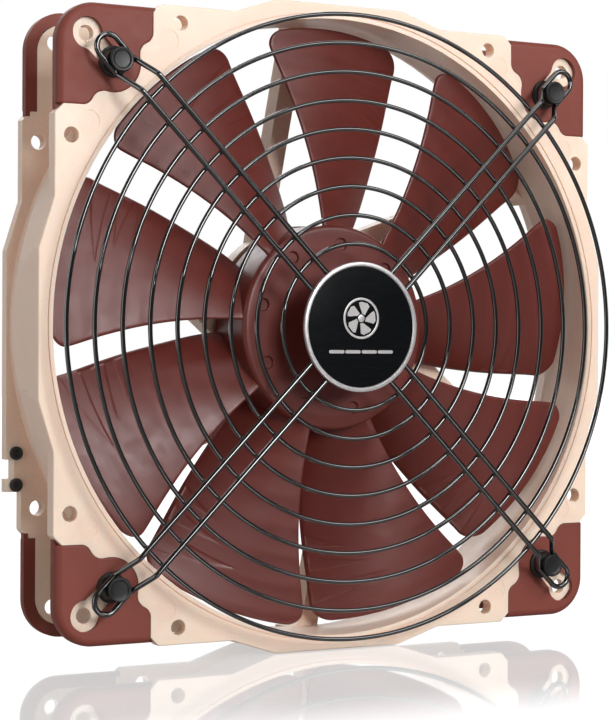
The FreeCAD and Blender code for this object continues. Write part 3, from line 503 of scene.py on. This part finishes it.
def add_blade(mesh, middle):
    """One blade, as a front and a back sheet that share their outer edges."""
    fronts, backs = [], []
    for radius in blade_rows():
        trail, lead = blade_edges(radius)
        front, back = [], []
        for index in range(COLUMNS + 1):
            # Columns crowd towards both edges, where the section is round.
            part = 0.5 - 0.5 * math.cos(math.pi * index / COLUMNS)
            part = CROWDING * part + (1 - CROWDING) * index / COLUMNS
            angle = trail + (lead - trail) * part
            arc = math.radians(lead - trail) * radius
            tip_inset = (TIP_RADIUS - radius) * TIP_STRETCH + 0.001
            inset = min(part * arc, (1 - part) * arc, tip_inset)
            half = half_thickness(radius, inset)
            high = blade_high(radius, angle)
            sunk = channel_depth(radius, angle) if inset >= EDGE_ROUND else 0.0
            top = mesh.verts.new(polar(radius, middle + angle, high + half - sunk))
            front.append(top)
            rim = index in (0, COLUMNS) or radius >= TIP_RADIUS - TINY
            back.append(top if rim else mesh.verts.new(polar(radius, middle + angle, high - half)))
        fronts.append(front)
        backs.append(back)
    for sheet in (fronts, backs):
        for row, further in zip(sheet, sheet[1:]):
            for index in range(COLUMNS):
                mesh.faces.new((row[index], row[index + 1], further[index + 1], further[index]))
    for index in range(COLUMNS):
        corners = [fronts[0][index], fronts[0][index + 1], backs[0][index + 1], backs[0][index]]
        mesh.faces.new(list(dict.fromkeys(corners)))


def add_hub(mesh):
    """The hub's cup, with one round dimple in its top for each blade."""
    mark_at, mark, mark_deep, mark_wall, first_mark = 26.0, 2.0, 0.8, 0.2, 5
    # Points this close to the top's plane, in metres, lie in it.
    flat = 1e-7
    inner, under = HUB_RADIUS - HUB_WALL, HUB_TOP - HUB_WALL
    # The top has close rows where the dimples are.
    rows = [(mark_at - 2.3 + 0.15 * step, HUB_TOP, 0) for step in range(31)]
    outline = [(0, HUB_TOP), (12, HUB_TOP, 0), *rows, (HUB_RADIUS, HUB_TOP, 2.4),
               (HUB_RADIUS, HUB_LOW, 0.4), (inner, HUB_LOW, 0.2), (inner, under, 0.6), (0, under)]
    lathe(mesh, softened(outline, 0.3, 6), HUB_STEPS)
    centres = [polar(mark_at, first_mark + 360 / BLADES * index, HUB_TOP)
               for index in range(BLADES)]
    for vert in mesh.verts:
        if abs(vert.co.y + HUB_TOP * MM) > flat:
            continue
        inside = mark - min((vert.co - centre).length for centre in centres) / MM
        vert.co.y += mark_deep * MM * max(0.0, min(1.0, inside / mark_wall))


def build_impeller():
    mesh = bmesh.new()
    add_hub(mesh)
    for index in range(BLADES):
        add_blade(mesh, 90 - 360 / BLADES * index)
    finish_piece("impeller_moulding", mesh, ["impeller"], smooth_angle=32)


build_impeller()

# --------------------------------------------------------------------------------------- guard

RINGS = [f"guard_ring_{index}" for index in range(1, 10)]
ring_low, ring_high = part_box(RINGS[0])
WIRE = (ring_high.y - ring_low.y) / 2
RING_Y = (ring_high.y + ring_low.y) / 2
arm_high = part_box("guard_arm_tr")[1]
ARM_WIRE = 0.85 * MM
ARM_Y = RING_Y - WIRE - ARM_WIRE
LOOP_Y = arm_high.y - ARM_WIRE
LEG = 3.65 * MM
# Where the rings' butt welds lie, in degrees, and how much they differ from ring to ring; the
# third number makes the difference look irregular.
WELD_ANGLE, WELD_SCATTER, WELD_RHYTHM = 167, 5, 2.4
# A butt weld swells the wire by this share, over this many metres along it.
WELD_SWELL, WELD_WIDTH = 0.10, 0.0007
RING_STEPS, LOOP_STEPS, BEND_STEPS = 288, 20, 7
# Radii, in metres, of the welds between arms and rings, across and along the axis.
SPOT_WIDE, SPOT_HIGH = 0.95 * MM, 0.5 * MM
# Those welds are centred this share of a ring wire's radius away from the wire's middle.
SPOT_OUT = 0.92


def build_ring(name, weld_angle):
    """A drawn wire bent round and butt welded, with a slight swelling at the joint."""
    box_low, box_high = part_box(name)
    radius = (box_high.x - box_low.x) / 2 - WIRE
    weld = round(weld_angle / 360 * RING_STEPS)
    path = [Vector((radius * math.cos(turn), RING_Y, radius * math.sin(turn)))
            for turn in (2 * math.pi * step / RING_STEPS for step in range(RING_STEPS))]

    def thick(index):
        steps_away = abs((index - weld + RING_STEPS // 2) % RING_STEPS - RING_STEPS // 2)
        away = steps_away * 2 * math.pi * radius / RING_STEPS
        return WIRE * (1 + WELD_SWELL * math.exp(-(away / WELD_WIDTH) ** 2))

    mesh = bmesh.new()
    tube(mesh, path, thick, closed=True)
    finish_piece(name.replace("guard_ring", "wire_ring"), mesh, [name])


def rounded_path(corners, radius):
    """Points along straight runs whose corners are bent to a radius."""
    points = [corners[0]]
    for before, here, after in zip(corners, corners[1:], corners[2:]):
        inward, outward = (before - here).normalized(), (after - here).normalized()
        half = inward.angle(outward) / 2
        cut = radius / math.tan(half)
        centre = here + (inward + outward).normalized() * (radius / math.sin(half))
        first, last = here + inward * cut - centre, here + outward * cut - centre
        for step in range(BEND_STEPS + 1):
            toward = first.normalized().slerp(last.normalized(), step / BEND_STEPS)
            points.append(centre + radius * toward)
    points.append(corners[-1])
    return points


def build_arm(corner, degrees):
    """One hairpin: two legs over the rings, stepped down and closed around the mount."""
    start, kink, turn_at, run = 12 * MM, 103 * MM, 114 * MM, 3.5 * MM
    leg = [Vector((start, ARM_Y, LEG)), Vector((kink - run, ARM_Y, LEG)),
           Vector((kink + run, LOOP_Y, LEG)), Vector((turn_at, LOOP_Y, LEG))]
    out = rounded_path(leg, 2 * MM)
    bend = [Vector((turn_at + LEG * math.cos(turn), LOOP_Y, LEG * math.sin(turn)))
            for turn in (math.pi / 2 - math.pi * step / LOOP_STEPS
                         for step in range(1, LOOP_STEPS))]
    back = [Vector((point.x, point.y, -point.z)) for point in reversed(out)]
    bends = out + bend + back
    longest = 6 * MM
    path = []
    for first, second in zip(bends, bends[1:]):
        path.append(first)
        pieces = int((second - first).length / longest)
        path += [first.lerp(second, step / (pieces + 1)) for step in range(1, pieces + 1)]
    path.append(back[-1])
    spin = Matrix.Rotation(math.radians(-degrees), 4, "Y")
    mesh = bmesh.new()
    tube(mesh, [spin @ point for point in path], ARM_WIRE)
    # A small weld lies where each leg crosses each ring.
    contact = RING_Y - WIRE * SPOT_OUT
    for name in RINGS:
        radius = (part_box(name)[1].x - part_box(name)[0].x) / 2 - WIRE
        for side in (LEG, -LEG):
            place = Vector((math.sqrt(radius ** 2 - side ** 2), contact, side))
            blob(mesh, spin @ place, (SPOT_WIDE, SPOT_HIGH, SPOT_WIDE))
    finish_piece(f"wire_arm_{corner}", mesh, [f"guard_arm_{corner}"])


for index, ring in enumerate(RINGS):
    build_ring(ring, WELD_ANGLE + WELD_SCATTER * math.sin(index * WELD_RHYTHM))
for corner, degrees in (("tr", 45), ("tl", 135), ("bl", 225), ("br", 315)):
    build_arm(corner, degrees)

# --------------------------------------------------------------------------- mounts and badge

# Sizes in this section are in millimetres.
MOUNT_AT = 77
LEAD_HOLES_ACROSS, LEAD_HOLES_DOWN = 96.8, (38.4, 47.9)
BADGE_BACK, BADGE_FACE, BADGE_FRONT = 42.4, 43.25, 43.6
# The fan sign and the bars stand this far out of the face and reach as far into it.
SIGN_HALF = 0.05
SIGN_UP, BARS_DOWN = 2.6, 7.6
BAR_HALF, BAR_RADIUS, BAR_STEPS = 2.2, 0.5, 8
# Steps around each turned shape.
MOUNT_STEPS, BADGE_STEPS, SIGN_STEPS, SIGN_HUB_STEPS, GROMMET_STEPS = 56, 160, 96, 32, 40


def build_mounts():
    """Four rubber pull mounts: barb, neck, collar, body, waist for the wire, dished head."""
    profile = softened([
        (0, 20.75), (1.7, 20.75, 0.5), (3.35, 24.4, 0.35), (3.35, 25.5, 0.25), (2.15, 25.5, 0.1),
        (2.15, 30, 0.1), (4.6, 30, 0.2), (4.6, 30.8, 0.4), (3.9, 31.1, 0.6), (3.5, 33.9, 0.3),
        (2.7, 33.95, 0.15), (2.7, 35.7, 0.15), (3.6, 35.7, 0.3), (3.68, 36.7, 0.25),
        (3.35, 36.98, 0.2), (2.9, 36.9, 0.3), (2.4, 36.65, 0.6), (0, 36.5)], 0.2, 4)
    mesh = bmesh.new()
    for x in (-MOUNT_AT, MOUNT_AT):
        for z in (-MOUNT_AT, MOUNT_AT):
            lathe(mesh, profile, MOUNT_STEPS, (x, z))
    finish_piece("pull_mounts", mesh, ["guard_mounts"], smooth_angle=50)


def plate(mesh, outline):
    """A thin flat island on the badge's face, through points given as (across, up)."""
    back, front = [[mesh.verts.new(spot(x, z, high)) for x, z in outline]
                   for high in (BADGE_FACE - SIGN_HALF, BADGE_FACE + SIGN_HALF)]
    mesh.faces.new(back)
    mesh.faces.new(list(reversed(front)))
    count = len(outline)
    for index in range(count):
        after = (index + 1) % count
        mesh.faces.new((back[index], back[after], front[after], front[index]))


def add_fan_sign(mesh):
    """A plain sign: a ring, a hub and five blades."""
    low, top = BADGE_FACE - SIGN_HALF, BADGE_FACE + SIGN_HALF
    centre = (0, SIGN_UP)
    ring = [(5.6, low), (6.3, low), (6.3, top), (5.6, top)]
    hub = [(0, low), (1.15, low), (1.15, top), (0, top)]
    lathe(mesh, softened(ring, 0.03, 2), SIGN_STEPS, centre)
    lathe(mesh, softened(hub, 0.03, 2), SIGN_HUB_STEPS, centre)
    # A blade's outline as (radius, degrees): up its leading edge and down its trailing edge.
    outline = [(1.6, 8), (2.6, 20), (3.8, 27), (4.9, 28), (5.1, 18),
               (5.1, -8), (4.6, -20), (3.4, -22), (2.3, -26), (1.6, -34)]
    for blade in range(5):
        plate(mesh, [(radius * math.cos(math.radians(angle + 72 * blade)),
                      SIGN_UP + radius * math.sin(math.radians(angle + 72 * blade)))
                     for radius, angle in outline])


def add_bars(mesh):
    """A row of four short bars with round ends, in place of any lettering."""
    for centre in (-8.6, -2.9, 2.9, 8.6):
        bar = []
        for end in (1, -1):
            for step in range(BAR_STEPS + 1):
                turn = math.radians(-90 + 180 * step / BAR_STEPS)
                bar.append((centre + end * (BAR_HALF + BAR_RADIUS * math.cos(turn)),
                            -BARS_DOWN + end * BAR_RADIUS * math.sin(turn)))
        plate(mesh, bar)


def build_badge():
    """A bright cup with a plain fan sign standing in it, and the brushed black disc around it."""
    back, front, face = BADGE_BACK, BADGE_FRONT, BADGE_FACE
    inside = back + 0.4
    mesh = bmesh.new()
    lathe(mesh, softened([(0, back), (19.9, back, 0.2), (19.9, front - 0.1, 0.35),
                          (19.1, front, 0.15), (18.75, front, 0.12), (18.5, face, 0.05),
                          (18.5, inside, 0.1), (0, inside)], 0.2, 5), BADGE_STEPS)
    add_fan_sign(mesh)
    add_bars(mesh)
    finish_piece("badge_cup", mesh, ["badge_rim"], smooth_angle=40)
    disc = bmesh.new()
    disc_outline = [(0, inside), (18.45, inside), (18.45, face, 0.08), (0, face)]
    lathe(disc, softened(disc_outline, 0.05, 3), BADGE_STEPS)
    finish_piece("badge_disc", disc, ["badge_face"], smooth_angle=40)


def build_grommets():
    profile = softened([(0, 0.05), (1.65, 0.05, 0.15), (1.65, 4.5, 0.05), (2.05, 4.55, 0.1),
                        (2.05, 5.35, 0.35), (1.1, 5.35, 0.3), (0.85, 4.7, 0.2), (0, 4.6)], 0.1, 4)
    mesh = bmesh.new()
    for down in LEAD_HOLES_DOWN:
        lathe(mesh, profile, GROMMET_STEPS, (-LEAD_HOLES_ACROSS, -down))
    finish_piece("lead_bushes", mesh, ["lead_grommets"], smooth_angle=45)


build_mounts()
build_badge()
build_grommets()

# ------------------------------------------------------------------------------------ stage

# The floor lies this far below the part, and its glow changes between these two places along Y.
FLOOR_GAP, FADE_FROM, FADE_TO = 0.0002, -0.17, -0.10
GLOW_FRONT, GLOW_BACK, GLOW_OTHER = 1.0, 0.5, 0.12

floor_mesh = bpy.data.meshes.new("floor")
reach = 3.0
low = CAD_BOX[0].z - FLOOR_GAP
floor_mesh.from_pydata([(-reach, -reach, low), (reach, -reach, low), (reach, reach, low),
                        (-reach, reach, low)], [], [(0, 1, 2, 3)])
floor = bpy.data.objects.new("floor", floor_mesh)
bpy.context.scene.collection.objects.link(floor)
floor_look = Shader("floor_white", (0.25, 0.25, 0.25), 0.04, specular=0.9)
floor_look.surface.inputs["Emission Color"].default_value = (1, 1, 1, 1)
# The camera sees the floor glow, by half under and behind the part, where the part is mirrored
# in it, and fully in front. All other rays see the same weak glow everywhere.
place = floor_look.node("ShaderNodeSeparateXYZ")
floor_look.join(floor_look.place, place.inputs["Vector"])
fade = floor_look.node("ShaderNodeMapRange", interpolation_type="SMOOTHSTEP",
                       **{"From Min": FADE_FROM, "From Max": FADE_TO,
                          "To Min": GLOW_FRONT, "To Max": GLOW_BACK})
floor_look.join(place.outputs["Y"], fade.inputs["Value"])
lit = floor_look.node("ShaderNodeLightPath")
glow = floor_look.node("ShaderNodeMix", data_type="FLOAT")
glow.inputs[FLOAT_A].default_value = GLOW_OTHER
floor_look.join(lit.outputs["Is Camera Ray"], glow.inputs[MIX_FACTOR])
floor_look.join(fade.outputs["Result"], glow.inputs[FLOAT_B])
floor_look.join(glow.outputs[FLOAT_OUT], floor_look.surface.inputs["Emission Strength"])
floor_look.roughness(floor_look.noise(30, 3), 0.03, 0.05)
floor.data.materials.append(floor_look.material)


def area_light(name, where, size, energy):
    """A rectangular light that faces the part's origin."""
    light = bpy.data.lights.new(name, "AREA")
    light.shape = "RECTANGLE"
    light.size, light.size_y = size
    light.energy = energy
    holder = bpy.data.objects.new(name, light)
    holder.location = where
    toward = Vector((0, 0, 0)) - Vector(where)
    holder.rotation_euler = toward.to_track_quat("-Z", "Y").to_euler()
    bpy.context.scene.collection.objects.link(holder)


area_light("key", (0.16, -1.2, 0.36), (0.42, 0.42), 9.6)
area_light("sheen_box", (0.62, -0.95, 0.60), (0.5, 0.5), 4.8)
area_light("left_fill", (-1.3, -0.3, 0.1), (0.7, 0.9), 6)
area_light("high_front", (-0.1, -0.6, 1.15), (0.6, 0.4), 3)
area_light("top", (0.0, 0.15, 1.4), (1.0, 1.0), 2)
area_light("behind", (0.2, 1.1, 0.9), (0.9, 0.9), 7)

# The camera sees white walls. They light the object softly, and only the wall behind it is
# bright enough to show in glossy surfaces.
WALL_SEEN, WALL_SOFT, WALL_FRONT, WALL_BEHIND = 1.0, 0.05, 0.08, 1.0
# The wall behind starts where a direction's Y is over the first value, and is full at the second.
BEHIND_START, BEHIND_FULL = 0.1, 0.5
world = bpy.data.worlds.new("studio")
bpy.context.scene.world = world
world.use_nodes = True
studio = world.node_tree
join = studio.links.new
backdrop = studio.nodes["Background"]
backdrop.inputs["Color"].default_value = (1, 1, 1, 1)
path = add_node(studio, "ShaderNodeLightPath")
facing = add_node(studio, "ShaderNodeSeparateXYZ")
join(add_node(studio, "ShaderNodeTexCoord").outputs["Generated"], facing.inputs["Vector"])
behind = add_node(studio, "ShaderNodeMapRange", interpolation_type="SMOOTHSTEP",
                  **{"From Min": BEHIND_START, "From Max": BEHIND_FULL,
                     "To Min": WALL_FRONT, "To Max": WALL_BEHIND})
join(facing.outputs["Y"], behind.inputs["Value"])
glossy = add_node(studio, "ShaderNodeMix", data_type="FLOAT")
glossy.inputs[FLOAT_A].default_value = WALL_SOFT
join(path.outputs["Is Glossy Ray"], glossy.inputs[MIX_FACTOR])
join(behind.outputs["Result"], glossy.inputs[FLOAT_B])
seen = add_node(studio, "ShaderNodeMix", data_type="FLOAT")
seen.inputs[FLOAT_B].default_value = WALL_SEEN
join(path.outputs["Is Camera Ray"], seen.inputs[MIX_FACTOR])
join(glossy.outputs[FLOAT_OUT], seen.inputs[FLOAT_A])
join(seen.outputs[FLOAT_OUT], backdrop.inputs["Strength"])
bpy.context.scene.view_settings.view_transform = "Standard"

# The camera stands to the left of the fan, level with its middle.
CAMERA_AT = (-0.3264, -0.5930, -0.0066)
camera_data = bpy.data.cameras.new("camera")
camera_data.sensor_width = 36
camera_data.lens = 104.7
camera_data.clip_start = 0.01
camera = bpy.data.objects.new("camera", camera_data)
bpy.context.scene.collection.objects.link(camera)
yaw, pitch, roll = math.radians(29.15), math.radians(-0.32), math.radians(0.28)
ahead = Vector((math.sin(yaw) * math.cos(pitch), math.cos(yaw) * math.cos(pitch),
                math.sin(pitch)))
across = Vector((math.cos(yaw), -math.sin(yaw), 0))
upward = across.cross(ahead)
right = math.cos(roll) * across + math.sin(roll) * upward
upright = -math.sin(roll) * across + math.cos(roll) * upward
turn = Matrix((right, upright, -ahead)).transposed().to_4x4()
camera.matrix_world = Matrix.Translation(CAMERA_AT) @ turn
bpy.context.scene.camera = camera
